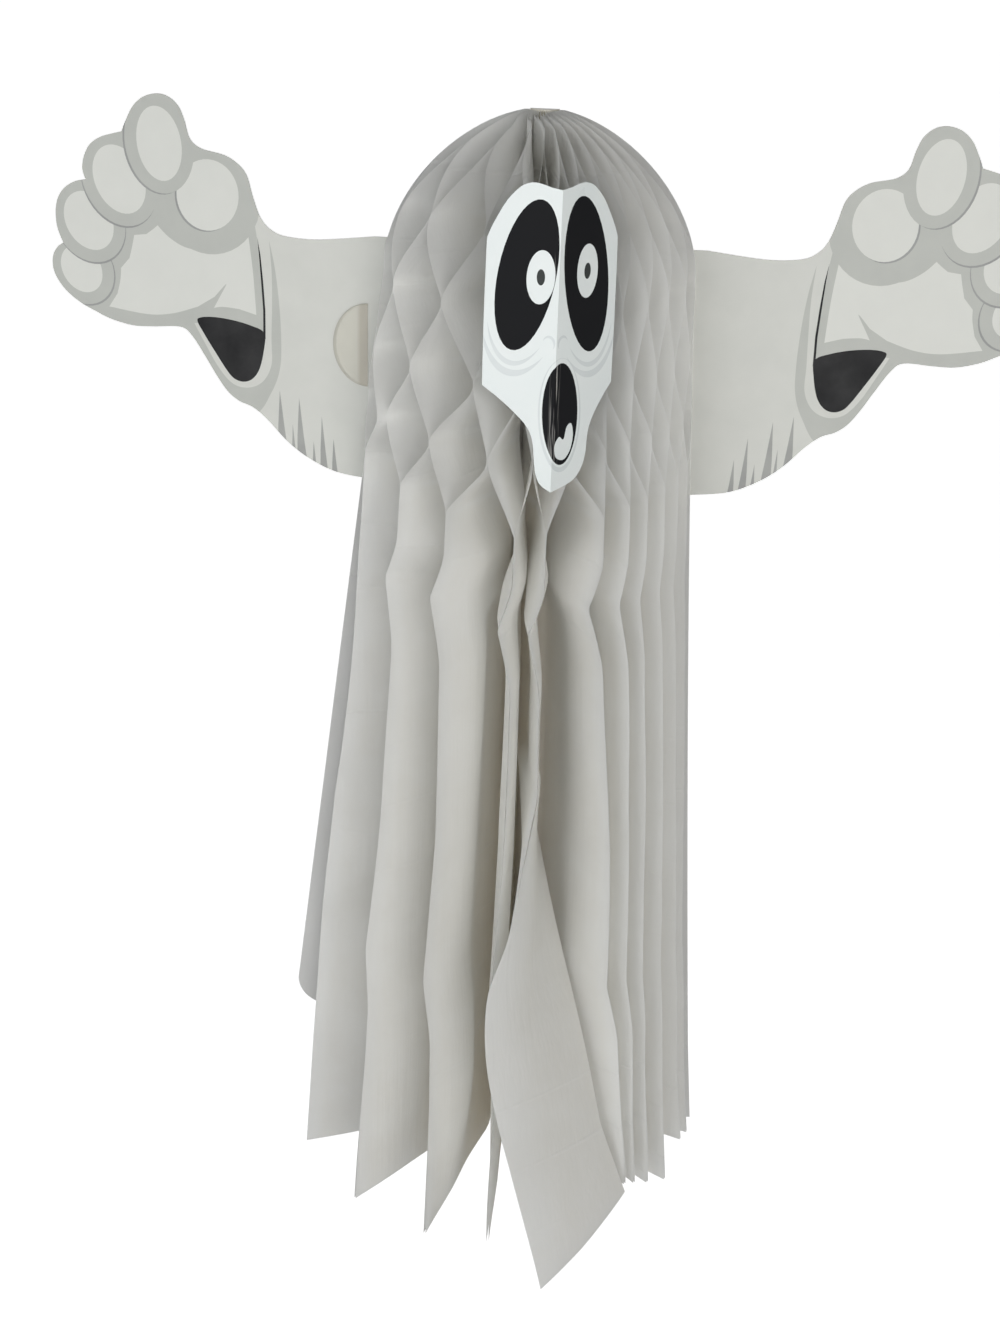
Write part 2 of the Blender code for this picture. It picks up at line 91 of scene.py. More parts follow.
# Slanting folds across the left pair: height at the cut edge and rise towards the spine.
FOLDED_PAIR = 0
FOLDS = ((0.212, 0.33), (0.124, 0.80))
FOLD_SPREAD = 0.026       # how far a fold reaches above and below its line
FOLD_SWELL = 0.0050       # how far it stands out of the leaf

# The front pair that has come off the spine low down: height, inner and outer edge.
TWISTED_PAIR = 4
TWIST_TOP = 0.250
TWIST_STATIONS = (
    (0.184, Vector((0.0185, -0.050)), Vector((0.002, -0.100))),
    (0.150, Vector((0.0275, -0.056)), Vector((-0.0072, -0.107))),
    (0.100, Vector((0.042, -0.070)), Vector((-0.0032, -0.114))),
    (0.0, Vector((0.0667, -0.083)), Vector((0.0256, -0.124))),
)
TWIST_HEM = (0.022, -0.010)   # height of its hem at the inner and the outer edge
TWIST_BELLY = 0.0035      # how far each of its two leaves bulges in the middle
TWIST_DENT = 0.0030       # depth of its soft dents

# Left end leaf.
END_LEAF_HEM = 0.070
END_LEAF_RADIUS = 0.119
END_LEAF_CORNER = 0.016

# Card band with the hands. Reaches run outwards from the crease of the arm, rises up from its top edge.
CARD = 0.0005
CARD_GAP = 0.0003
TISSUE = 0.0003
CREASE = HEAD_RADIUS + 0.0046
CARD_FRONT = 0.5 * TISSUE + CARD_GAP
LEFT_BEND = 5.0
RIGHT_BEND = 0.5
ARM_TOP = HEIGHT - 0.0610
ARM_WIDTH = 0.1180

# The hand's outline in stretches that meet at the notches between the fingers, as reach and rise.
WRIST = ((0.0, 0.0), (0.0270, -0.0030), (0.0430, -0.0023), (0.0502, 0.0007), (0.0547, 0.0060),
         (0.0579, 0.0150), (0.0606, 0.0245))
THUMB = ((0.0650, 0.0297), (0.0715, 0.0333), (0.0820, 0.0356), (0.0873, 0.0397))
INDEX = ((0.0897, 0.0480), (0.0923, 0.0540), (0.0969, 0.0580), (0.1025, 0.0592), (0.1090, 0.0575),
         (0.1143, 0.0530), (0.1180, 0.0465), (0.1203, 0.0415))
MIDDLE = ((0.1203, 0.0415), (0.1260, 0.0400), (0.1312, 0.0383), (0.1362, 0.0348), (0.1393, 0.0294),
          (0.1405, 0.0235), (0.1392, 0.0187))
RING = ((0.1392, 0.0187), (0.1449, 0.0174), (0.1502, 0.0140), (0.1537, 0.0090), (0.1551, 0.0024),
        (0.1547, -0.0048), (0.1523, -0.0116))
LITTLE = ((0.1523, -0.0116), (0.1554, -0.0139), (0.1579, -0.0183), (0.1581, -0.0244), (0.1559, -0.0298),
          (0.1517, -0.0351), (0.1450, -0.0402), (0.1374, -0.0440))
PALM = ((0.1299, -0.0472), (0.1195, -0.0495), (0.1093, -0.0494), (0.0955, -0.0487), (0.0898, -0.0528),
        (0.0834, -0.0628), (0.0776, -0.0725), (0.0724, -0.0795), (0.0670, -0.0835), (0.0605, -0.0860))
SLEEVE = ((0.0535, 0.0265), (0.0425, 0.0152), (0.0307, 0.0072), (0.0175, 0.0020), (0.0, 0.0))

# Print on a hand: centre, half width, half height, lean, and where its shadow line falls, in millimetres
# of reach and rise. Each finger overlaps the one before it.
THUMB_PAD = (79.8, 14.5, 15.0, 16.5, -12.0, (0.9, -0.6))
FINGER_PADS = (
    (143.8, -23.5, 9.8, 11.8, 30.0, (-0.7, -0.7)),
    (138.8, -0.5, 11.6, 14.3, 28.0, (-0.3, -0.9)),
    (122.6, 19.5, 12.2, 16.3, 22.0, (0.4, -0.9)),
    (102.3, 36.8, 10.8, 17.0, 7.0, (0.9, -0.5)),
)
FINGER_BAND = 5.8
THUMB_BAND = 9.5

# Pointed strokes at the arm's lower edge: tip, length and width.
STREAKS = ((46.8, -76.5, 34.0, 5.4), (37.2, -79.5, 38.0, 5.8), (26.0, -88.0, 34.0, 4.6),
           (40.6, -93.0, 24.0, 3.0), (30.2, -101.0, 20.0, 3.0), (20.2, -99.0, 24.0, 3.8))

# Face card.
FACE_X = 0.0125
FACE_TOP = HEIGHT - 0.0205
FACE_BOTTOM = FACE_TOP - 0.1320
FACE_HALF = 0.0325
CHIN_LEFT = 0.0082
CHIN_RIGHT = 0.0194
CHEEK_RISE = 0.0450
FACE_LEFT_TURN = 12.0
FACE_RIGHT_TURN = 43.0

# Clear round seal, cut at the arm's crease.
SEAL_RADIUS = 0.0200
SEAL_REACH = 0.0170
SEAL_DROP = 0.0515
SEAL_MARGIN = 0.0030
SEAL_THICK = 0.0002

# Mesh of a leaf.
HEAD_ROWS = 26
COMB_END = 0.315          # rows stand closer above this height
COMB_STEP = 0.0030
SKIRT_STEP = 0.0055
COLUMNS = 22
RIM = 0.0007              # width of the cut edge strip that gets a painted highlight
CRUMPLE = 0.0007          # depth of the small dents in the paper

# Studio.
FLOOR_LEVEL = -0.95       # below the hanging point
FLOOR_HALF = 30.0
FLOOR_WHITE = 0.87        # what the camera sees of it, on top of its lit colour


def smooth(value):
    value = min(1.0, max(0.0, value))
    return value * value * (3.0 - 2.0 * value)


def mix(start, end, share):
    return start + (end - start) * share


def direction(angle):
    turn = math.radians(angle)
    return Vector((-math.cos(turn), -math.sin(turn)))


def outline_radius(z):
    """The cut line of a leaf: a rounded head, then a skirt that widens."""
    if z > SHOULDER:
        share = min(1.0, (z - SHOULDER) / HEAD_RADIUS)
        return HEAD_RADIUS * (1.0 - share ** HEAD_POWER) ** (1.0 / HEAD_POWER)
    return mix(HEAD_RADIUS, HEM_RADIUS, ((SHOULDER - z) / SHOULDER) ** 1.2)


def head_height(radius):
    """Height at which the outline of the head has this radius."""
    share = (radius / HEAD_RADIUS) ** HEAD_POWER
    return SHOULDER + HEAD_RADIUS * (1.0 - share) ** (1.0 / HEAD_POWER)


def edge_radius(sheet, z):
    """How far out the cut edge of a sheet hangs. The left end leaf widens more and has a rounded corner."""
    edge = outline_radius(z)
    if sheet <= 2:
        edge += LEFT_FLARE * smooth((SHOULDER - z) / FLARE_DROP)
    if sheet in (1, 2):
        edge += HEM_FLARE * smooth((0.55 * HEIGHT - z) / (0.30 * HEIGHT))
    start = glue_height(GLUE_LINES - 1, 0.0) - GLUE_HALF
    if sheet > 0 or z > start:
        return edge
    corner_top = END_LEAF_HEM + END_LEAF_CORNER
    if z > corner_top:
        return mix(edge_radius(0, start + 1e-6), END_LEAF_RADIUS, (start - z) / (start - corner_top))
    drop = min(1.0, (corner_top - z) / END_LEAF_CORNER)
    return END_LEAF_RADIUS - END_LEAF_CORNER * (1.0 - math.sqrt(1.0 - drop * drop))


def glue_height(line, angle):
    drop = FIRST_GLUE + line * GLUE_PITCH
    lift = SIDE_LIFT + LOW_LIFT * max(0.0, 0.5 * (line - GLUE_LINES + 3))
    return HEIGHT - drop * (1.0 - lift * abs(math.cos(math.radians(angle))))


def pair_angle(pair, line):
    """Fan angle of a pair at a glue line: it drifts to its place in the skirt over the last two lines."""
    drift = max(0.0, 0.5 * (line - GLUE_LINES + 3))
    return mix(PAIR_ANGLES[pair], SKIRT_ANGLES[pair], drift)


def glued_angle(sheet, line):
    """Fan angle of a sheet at a glue line, and which side of its pair it is."""
    if sheet == 0:
        return 0.0, 0
    if sheet == SHEETS - 1:
        return 180.0, 0
    if line % 2 == 1:
        return pair_angle((sheet - 1) // 2, line), (-1 if sheet % 2 == 1 else 1)
    joint = sheet // 2
    if joint == 0:
        return 0.0, 2
    if joint == len(PAIR_ANGLES):
        return 180.0, -2
    between = 0.5 * (pair_angle(joint - 1, line) + pair_angle(joint, line))
    return between, (-1 if sheet % 2 == 0 else 1)


def spine_angle(sheet):
    return 180.0 * (sheet + 0.5) / SHEETS


def pair_of(sheet):
    return (sheet - 1) // 2


def side_of(sheet):
    return -1 if sheet % 2 == 1 else 1


def comb_state(sheet, z):
    """Angle, side and nearness to a glue line in the glued part of a sheet."""
    lines = []
    for line in range(GLUE_LINES):
        angle, side = glued_angle(sheet, line)
        lines.append((glue_height(line, angle), angle, side))
    if z >= lines[0][0] - GLUE_HALF:
        return lines[0][1], lines[0][2], glue_mark(z, lines)
    for above, below in zip(lines, lines[1:]):
        top = above[0] - GLUE_HALF
        bottom = below[0] + GLUE_HALF
        if z >= bottom:
            share = max(0.0, (top - z) / (top - bottom))
            share = 0.75 * share + 0.25 * smooth(share)
            return mix(above[1], below[1], share), mix(above[2], below[2], share), glue_mark(z, lines)
        if z >= below[0] - GLUE_HALF:
            return below[1], below[2], glue_mark(z, lines)
    return lines[-1][1], lines[-1][2], 0.0


def glue_mark(z, lines):
    nearest = min(abs(z - line[0]) for line in lines)
    return smooth(1.6 - nearest / GLUE_HALF)


def skirt_angle(pair, z, reach):
    """Fan angle of the middle of a hanging pair, reach 1 at its cut edge."""
    share = smooth(1.0 - z / glue_height(GLUE_LINES - 1, SKIRT_ANGLES[pair]))
    angle = mix(SKIRT_ANGLES[pair], HEM_ANGLES[pair], share * reach)
    for height, above, below, part in KINKS:
        height -= LOW_KINKS.get(pair, 0.0)
        away = abs(z - height) / (above if z > height else below)
        bend = max(0.0, 1.0 - 0.75 * away) ** 1.25
        angle += KINK_SWING[pair] * part * bend * mix(0.35, 1.0, reach)
    wave = noise.noise(Vector((z * 11.0, 3.7 * pair, 0.4)))
    return angle + 1.3 * wave * reach * smooth((0.36 - z) / 0.08)


def gap_angle(sheet):
    """Signed angle from a sheet's own pair to half-way towards the next pair on its side."""
    pair = pair_of(sheet)
    other = pair + side_of(sheet)
    if other < 0:
        return -0.8 * SKIRT_ANGLES[0]
    if other >= len(SKIRT_ANGLES):
        return 0.8 * (180.0 - SKIRT_ANGLES[-1])
    return 0.5 * (SKIRT_ANGLES[other] - SKIRT_ANGLES[pair])


def bulge_share(sheet, z):
    """How far a hanging sheet swings towards its neighbour away from the cut edge."""
    last = glue_height(GLUE_LINES - 1, SKIRT_ANGLES[pair_of(sheet)])
    widest = last - POCKET_DROP
    rest = OPEN_BULGES.get(sheet, BULGE_SHARE)
    rest *= (1.0 + 0.4 * noise.noise(Vector((z * 7.0, 1.9 * sheet, 2.3)))) * smooth(0.2 + z / 0.12)
    pocket = SMALL_POCKETS.get(sheet, POCKET_SHARE)
    if z > widest:
        return pocket * smooth((last - GLUE_HALF - z) / (last - GLUE_HALF - widest))
    return mix(pocket, rest, smooth((widest - z) / POCKET_FADE))


def hold_share(sheet, z, inward):
    """How much of the bulge is left deep inside: below the pockets a sheet falls back to its pair."""
    pocket = smooth((z - OPEN_TOP + 0.012) / 0.012)
    return mix(1.0 - 0.85 * smooth((inward - FOLD_DEPTH) / 0.25), 1.0, pocket)


def leaf_point(sheet, angle, side, radius):
    """A point on the middle surface of a sheet, seen from above."""
    ease = smooth((radius - SPINE_RADIUS) / (SPREAD_RADIUS - SPINE_RADIUS))
    out = direction(mix(spine_angle(sheet), angle, ease))
    across = Vector((-out.y, out.x))
    shift = 0.5 * side * LEAF_PITCH
    if abs(side) <= 1:
        shift *= ease
    return out * radius + across * shift


def skirt_point(sheet, z, radius, edge):
    """A point of a hanging sheet below the last glue line."""
    pair = pair_of(sheet)
    reach = mix(0.5, 1.0, max(0.0, radius - SPREAD_RADIUS) / (edge - SPREAD_RADIUS))
    depth = (edge - radius) / (edge - SPINE_RADIUS)
    inward = min(1.0, depth / BULGE_MARGIN)
    rise = mix(inward, smooth(inward), 0.8) * hold_share(sheet, z, depth)
    angle = skirt_angle(pair, z, reach) + gap_angle(sheet) * bulge_share(sheet, z) * rise
    splay = HEM_SPLAY * smooth((0.080 - z) / 0.080) * (1.0 - inward)
    side = side_of(sheet) * (1.0 + 2.0 * splay / LEAF_PITCH)
    return leaf_point(sheet, angle, side, radius)


def spline(stations, z):
    """Smooth curve through stations of (height, vector), highest first."""
    for index, (above, below) in enumerate(zip(stations, stations[1:])):
        if z >= below[0] or index == len(stations) - 2:
            before = stations[max(0, index - 1)]
            after = stations[min(len(stations) - 1, index + 2)]
            span = above[0] - below[0]
            share = (above[0] - z) / span
            start_slope = (below[1] - before[1]) / (before[0] - below[0]) * span
            end_slope = (after[1] - above[1]) / (above[0] - after[0]) * span
            square = share * share
            cube = square * share
            point = above[1] * (2 * cube - 3 * square + 1) + start_slope * (cube - 2 * square + share)
            return point + below[1] * (3 * square - 2 * cube) + end_slope * (cube - square)


def twisted_point(sheet, z, share):
    """A point of the front pair below the place where it has left the spine."""
    edge = outline_radius(TWIST_TOP)
    start = [skirt_point(sheet, TWIST_TOP, radius, edge) for radius in (SPINE_RADIUS, edge)]
    ends = []
    for which in (0, 1):
        stations = [(TWIST_TOP, start[which])]
        stations += [(station[0], station[1 + which]) for station in TWIST_STATIONS]
        ends.append(spline(stations, z))
    inner, outer = ends
    along = (outer - inner).normalized()
    across = Vector((-along.y, along.x))
    away = 1.0 - abs(2.0 * share - 1.0) ** 2
    belly = (TWIST_BELLY * away + 0.5 * LEAF_PITCH) * side_of(sheet)
    belly += TWIST_DENT * away * noise.noise(Vector((z * 9.0, share * 1.5, 7.7)))
    return inner.lerp(outer, share) + across * belly


def leaf_heights(sheet):
    """Heights of the rows of a leaf, from the top of the head down to the hem."""
    top_turn = math.asin((SPINE_RADIUS + 0.002) / HEAD_RADIUS)
    heights = []
    for step in range(HEAD_ROWS):
        turn = mix(top_turn, 0.5 * math.pi, step / HEAD_ROWS)
        heights.append(head_height(HEAD_RADIUS * math.sin(turn)))
    bottom = END_LEAF_HEM if sheet == 0 else 0.0
    steps = round((SHOULDER - COMB_END) / COMB_STEP)
    heights += [mix(SHOULDER, COMB_END, step / steps) for step in range(steps)]
    steps = round((COMB_END - bottom) / SKIRT_STEP)
    heights += [mix(COMB_END, bottom, step / steps) for step in range(steps + 1)]
    if sheet == 0:
        corner = [bottom + END_LEAF_CORNER * (1.0 - math.sin(math.radians(8 * step))) for step in range(12)]
        heights = [z for z in heights if z > bottom + END_LEAF_CORNER + 0.002] + corner
    return heights


def hem_shift(point, z, edge, sheet, share):
    """The straight cut at the bottom of the skirt, spread over the rows above it."""
    if sheet == 0:
        return 0.0
    hem = HEM_RISE * (1.0 - point.length / edge) + HEM_TILT * point.x
    hem += HEM_LIFTS.get(pair_of(sheet), 0.0)
    if pair_of(sheet) == TWISTED_PAIR:
        hem = mix(*TWIST_HEM, share)
    return hem * max(0.0, 1.0 - z / HEM_FADE)


def leaf_grid(sheet):
    """Rows of points of a leaf, each with its glue mark, painted highlight mark on the cut edge and depth
    behind the cut edge that sets painted shade and painted light.
    """
    last_line = glue_height(GLUE_LINES - 1, glued_angle(sheet, GLUE_LINES - 1)[0])
    pair = pair_of(sheet)
    hanging = 0 < sheet < SHEETS - 1
    rows = []
    for z in leaf_heights(sheet):
        edge = edge_radius(sheet, z)
        row = []
        for column in range(COLUMNS):
            width = edge - SPINE_RADIUS
            radius = edge
            if column < COLUMNS - 1:
                radius = SPINE_RADIUS + (width - min(RIM, 0.2 * width)) * column / (COLUMNS - 2)
            mark = 0.0
            if hanging and pair == TWISTED_PAIR and z < TWIST_TOP:
                point = twisted_point(sheet, z, (radius - SPINE_RADIUS) / width)
            elif hanging and z < last_line - GLUE_HALF:
                point = skirt_point(sheet, z, radius, edge)
            else:
                angle, side, mark = comb_state(sheet, z)
                point = leaf_point(sheet, angle, side, radius)
            height = z + hem_shift(point, z, edge, sheet, (radius - SPINE_RADIUS) / width)
            # The outermost column carries the painted highlight of the cut edge.
            rim = 1.0 if column == COLUMNS - 1 else 0.0
            # The depth behind the cut edge, scaled by shade_share, sets the painted warm shade deep inside
            # and the painted light band near the edge.
            depth = (edge - radius) * shade_share(sheet, z)
            row.append((Vector((point.x, point.y, height)), mark, rim, depth))
        rows.append(row)
    return rows


def shade_share(sheet, z):
    """How much painted warm shade the inside of a leaf gets: less on the flat end leaves and where a pair
    hangs free.
    """
    if sheet in (0, SHEETS - 1):
        return 0.3
    if pair_of(sheet) == TWISTED_PAIR:
        return mix(1.0, 0.25, smooth((TWIST_TOP - z) / 0.05))
    return mix(1.0, 0.3, smooth((z - 0.36) / 0.06))


def crumple(point, sheet):
    """Small soft dents in the paper, the same for both leaves of a pair, and the folds of one pair."""
    seed = Vector((0.0, 0.0, 5.3 * ((sheet + 1) // 2)))
    place = Vector((point.x * 28.0, point.y * 28.0, point.z * 16.0)) + seed
    reach = point.xy.length
    dent = CRUMPLE * min(1.0, reach / HEAD_RADIUS) * noise.noise(place)
    if pair_of(sheet) != FOLDED_PAIR:
        return dent
    for height, slope in FOLDS:
        line = height + slope * (edge_radius(sheet, point.z) - reach)
        away = abs(point.z - line) / FOLD_SPREAD
        dent -= FOLD_SWELL * max(0.0, 1.0 - away) * smooth(reach / HEAD_RADIUS)
    return dent


def add_mesh(name, vertices, faces, materials, indices=None, sharp=35.0):
    mesh = bpy.data.meshes.new(name)
    mesh.from_pydata([(v.x, v.y, v.z - HANG_HEIGHT) for v in vertices], [], faces)
    for material in materials:
        mesh.materials.append(material)
    if indices:
        mesh.polygons.foreach_set("material_index", indices)
    mesh.shade_smooth()
    mesh.set_sharp_from_angle(angle=math.radians(sharp))
    thing = bpy.data.objects.new(name, mesh)
    bpy.context.scene.collection.objects.link(thing)
    return thing


def add_leaf(sheet, material):
    rows = leaf_grid(sheet)
    vertices = []
    marks = []
    edge_highlights = []
    depths = []
    for row in rows:
        for point, mark, rim, depth in row:
            out = point.xy.normalized()
            across = Vector((-out.y, out.x, 0.0))
            vertices.append(point + across * crumple(point, sheet))
            marks.append(mark)
            edge_highlights.append(rim)
            depths.append(depth)
    faces = []
    for r in range(len(rows) - 1):
        for c in range(COLUMNS - 1):
            first = r * COLUMNS + c
            faces.append((first, first + 1, first + COLUMNS + 1, first + COLUMNS))
    node = f"tissue_leaf_{sheet + 1:02d}"
    leaf = add_mesh(f"paper_{node}", vertices, faces, [material], sharp=80.0)
    leaf.data.attributes.new("glue_mark", "FLOAT", "POINT").data.foreach_set("value", marks)
    leaf.data.attributes.new("cut_edge_highlight", "FLOAT", "POINT").data.foreach_set("value", edge_highlights)
    leaf.data.attributes.new("edge_depth", "FLOAT", "POINT").data.foreach_set("value", depths)
    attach(leaf, "root")
    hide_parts(node)


def hand_outline():
    """Outline of one arm from the crease, over the hand and back: reach and rise."""
    points = curve_through(WRIST + THUMB + INDEX, closed=False)
    for finger in (MIDDLE, RING):
        points += curve_through(finger, closed=False)[1:]
    sleeve = tuple((reach, rise - ARM_WIDTH) for reach, rise in SLEEVE)
    return points + curve_through(LITTLE + PALM + sleeve, closed=False)[1:]


def curve_through(points, closed=True, steps=6):
    """Smooth curve through the points, as a list of points."""
    count = len(points)
    spans = count if closed else count - 1
    smooth_points = []
    for index in range(spans):
        keys = []
        for offset in (-1, 0, 1, 2):
            key = index + offset
            key = key % count if closed else min(count - 1, max(0, key))
            keys.append(Vector(points[key]))
        for step in range(steps):
            t = step / steps
            before, here, there, after = keys
            bend = (2 * before - 5 * here + 4 * there - after) * t * t
            bend += (3 * here - before - 3 * there + after) * t * t * t
            point = 0.5 * (2 * here + (there - before) * t + bend)
            smooth_points.append((point.x, point.y))
    if not closed:
        smooth_points.append(tuple(points[-1]))
    return smooth_points


def oval(centre_x, centre_y, half_width, half_height, lean=0.0, steps=40):
    """A leaning ellipse. The lean is in degrees and tips the top towards +X."""
    turn = math.radians(-lean)
    points = []
    for step in range(steps):
        angle = 2.0 * math.pi * step / steps
        x = half_width * math.cos(angle)
        y = half_height * math.sin(angle)
        points.append((centre_x + x * math.cos(turn) - y * math.sin(turn),
                       centre_y + x * math.sin(turn) + y * math.cos(turn)))
    return points


def crescent(shape, thick, start, end, steps=24):
    """A band along part of an oval, widest in the middle and pointed at both ends."""
    outer = []
    inner = []
    for step in range(steps + 1):
        share = step / steps
        spot = math.radians(mix(start, end, share))
        half = 0.5 * thick * math.sin(math.pi * share) + 0.02
        for grow, side in ((half, outer), (-half, inner)):
            x = (shape[2] + grow) * math.cos(spot)
            y = (shape[3] + grow) * math.sin(spot)
            turn = math.radians(-shape[4])
            side.append((shape[0] + x * math.cos(turn) - y * math.sin(turn),
                         shape[1] + x * math.sin(turn) + y * math.cos(turn)))
    return outer + inner[::-1]


def streak(tip_x, tip_y, length, width):
    """A narrow pointed stroke at the arm's lower edge, its tip leaning towards the hand."""
    foot = tip_x - 0.04 * length
    low = tip_y - length
    middle = tip_y - 0.5 * length
    centre = 0.5 * (tip_x + foot)
    return [(tip_x, tip_y), (centre + 0.32 * width, middle), (foot + 0.5 * width, low),
            (foot - 0.5 * width, low), (centre - 0.22 * width, middle)]


def inside(point, loop):
    """True if the point lies inside the closed loop."""
    x, y = point
    found = False
    before_x, before_y = loop[-1]
    for here_x, here_y in loop:
        if (here_y > y) != (before_y > y):
            if x < (before_x - here_x) * (y - here_y) / (before_y - here_y) + here_x:
                found = not found
        before_x, before_y = here_x, here_y
    return found


def box_of(loop):
    xs = [x for x, y in loop]
    ys = [y for x, y in loop]
    return min(xs), min(ys), max(xs), max(ys)


def printed_plate(outline, folds, fields):
    """Cut a flat outline into triangles along its folds and printed fields.

    fields are (ink, closed loop), the later ones printed over the earlier ones.
    Returns the points, the triangles and the ink of each triangle.
    """
    points = []
    edges = []
    for loop in [outline] + [loop for ink, loop in fields]:
        first = len(points)
        points += [Vector(point) for point in loop]
        edges += [(first + i, first + (i + 1) % len(loop)) for i in range(len(loop))]
    for start, end in folds:
        edges.append((len(points), len(points) + 1))
        points += [Vector(start), Vector(end)]
    cut = geometry.delaunay_2d_cdt(points, edges, [], 0, 1e-6)
    flat = cut[0]
    layers = [(ink, loop, box_of(loop)) for ink, loop in fields]
    triangles = []
    inks = []
    for face in cut[2]:
        centre = sum((flat[index] for index in face), Vector((0.0, 0.0))) / len(face)
        if not inside(centre, outline):
            continue
        shown = 0
        for ink, loop, (left, bottom, right, top) in layers:
            if left <= centre.x <= right and bottom <= centre.y <= top and inside(centre, loop):
                shown = ink
        triangles.append(tuple(face))
        inks.append(shown)
    return flat, triangles, inks


def plate_mesh(name, plate, place, thickness, materials, back_ink):
    """Closed card from a printed plate. place(x, y, depth) puts a flat point where it belongs."""
    flat, triangles, inks = plate
    used = sorted({index for face in triangles for index in face})
    number = {index: order for order, index in enumerate(used)}
    vertices = [place(flat[index].x, flat[index].y, 0.0) for index in used]
    vertices += [place(flat[index].x, flat[index].y, thickness) for index in used]
    count = len(used)
    faces = []
    indices = list(inks) + [back_ink] * len(triangles)
    fronts = [tuple(number[index] for index in face) for face in triangles]
    faces += fronts
    faces += [tuple(count + index for index in reversed(face)) for face in fronts]
    ways = set()
    for a, b, c in fronts:
        ways |= {(a, b), (b, c), (c, a)}
    for a, b in sorted(ways):
        if (b, a) not in ways:
            faces.append((b, a, count + a, count + b))
            indices.append(back_ink)
    return add_mesh(name, vertices, faces, materials, indices)


def bend_back(x, y, z, side, angle):
    """Turn a point of one arm back around its crease."""
    turn = math.radians(angle)
    depth = y - CARD_FRONT
    reach = abs(x) - CREASE
    new_reach = reach * math.cos(turn) - depth * math.sin(turn)
    new_depth = reach * math.sin(turn) + depth * math.cos(turn)
    return Vector((side * (CREASE + new_reach), CARD_FRONT + new_depth, z))


def place_arm(x, z, depth):
    if x > CREASE:
        return bend_back(x, CARD_FRONT + depth, z, 1, RIGHT_BEND)
    if x < -CREASE:
        return bend_back(x, CARD_FRONT + depth, z, -1, LEFT_BEND)
    return Vector((x, CARD_FRONT + depth, z))


def finger_print(pad, band):
    """Shadow line, grey band and light pad of one finger, in millimetres."""
    x, y, half_width, half_height, lean, shadow = pad
    ring = (half_width + band, half_height + band, lean)
    fields = [("line", oval(x + shadow[0], y + shadow[1], *ring))]
    fields.append(("grey", oval(x, y, *ring)))
    fields.append(("pale", oval(x, y, half_width, half_height, lean)))
    return fields


def hand_print():
    """The printed fields of one hand, reach and rise in millimetres."""
    wrist = [(59.0, 18.0), (57.8, 6.0), (56.2, -6.0), (54.6, -20.0), (53.3, -36.0), (53.2, -52.0)]
    hand = curve_through(wrist, closed=False)
    hand += [(62.0, -50.0), (70.0, -47.0), (86.0, -46.0), (92.0, -47.0), (96.0, -62.0)]
    hand += [(190.0, -62.0), (190.0, 90.0), (59.0, 90.0)]
    sleeve = [(50.6, -4.5), (49.6, -20.0), (49.8, -36.0), (50.4, -52.0), (50.6, -64.0), (54.8, -72.5)]
    sleeve += [(62.0, -76.3), (70.0, -75.0), (77.0, -67.5), (83.5, -56.0), (88.5, -46.5)]
    sleeve_inner = curve_through(sleeve, closed=False)
    sleeve_outer = [(50.6, -4.5), (48.0, -18.0), (46.3, -34.0), (45.6, -52.0), (46.5, -66.0), (51.0, -78.0)]
    sleeve_outer += [(60.0, -90.0), (80.0, -92.0), (100.0, -70.0), (96.0, -47.0)]
    band = sleeve_inner + curve_through(sleeve_outer, closed=False)[::-1]
    palm = [(104.8, -0.8), (99.5, -6.0), (92.0, -10.2), (84.0, -11.0), (76.0, -8.0), (69.5, -1.5)]
    palm = curve_through(palm, closed=False)
    palm += curve_through([(61.8, 6.0), (60.0, -8.0), (58.6, -22.0), (57.6, -40.5)], closed=False)
    palm += curve_through([(66.0, -38.2), (74.0, -37.6), (78.5, -38.4)], closed=False)
    palm += curve_through([(75.5, -33.0), (72.0, -26.5), (78.0, -33.0)], closed=False)
    palm += curve_through([(86.5, -38.3), (99.0, -42.3), (112.0, -43.5), (131.0, -41.0)], closed=False)
    palm += curve_through([(126.5, -34.5), (124.6, -27.5), (124.0, -22.0)], closed=False)
    palm += curve_through([(119.5, -17.0), (117.8, -11.0), (116.6, -6.0)], closed=False)
    palm += [(110.5, -5.2), (107.2, -2.8)]
    cuff = [(53.9, -49.0), (61.0, -45.6), (70.0, -43.6), (79.0, -42.8), (85.2, -43.4), (87.0, -45.2)]
    cuff += [(84.0, -51.0), (78.5, -60.0), (73.0, -68.5), (69.5, -72.3), (65.0, -73.6), (60.5, -72.0)]
    cuff += [(56.8, -67.0), (54.4, -58.0)]
    cuff_line = [(56.3, -3.5), (54.9, -12.0), (53.9, -24.0), (53.1, -38.0), (53.3, -52.0)]
    cuff_line += [(54.4, -50.0), (54.2, -38.0), (54.9, -24.0), (55.6, -12.0)]
    strip = sleeve_inner + [(85.5, -46.0), (75.0, -47.0), (62.0, -50.0), (55.0, -53.0), (53.4, -44.0)]
    strip += [(54.4, -24.0), (56.0, -4.5)]
    fields = [("grey", hand), ("card", strip), ("grey", band)]
    fields.append(("pale", palm))
    x, y, half_width, half_height, lean, shadow = THUMB_PAD
    around = (half_width + THUMB_BAND, half_height + THUMB_BAND, lean)
    fields.append(("grey", oval(x - 1.0, y - 1.5, *around)))
    fields.append(("line", oval(x + shadow[0], y + shadow[1], half_width, half_height, lean)))
    fields.append(("pale", oval(x, y, half_width, half_height, lean)))
    for pad in FINGER_PADS:
        fields += finger_print(pad, FINGER_BAND)
    fields.append(("black", cuff_line))
    fields.append(("black", curve_through(cuff)))
    for stroke in STREAKS:
        fields.append(("streak", streak(*stroke)))
    return fields


ARM_INKS = ("card", "grey", "pale", "black", "line", "streak")


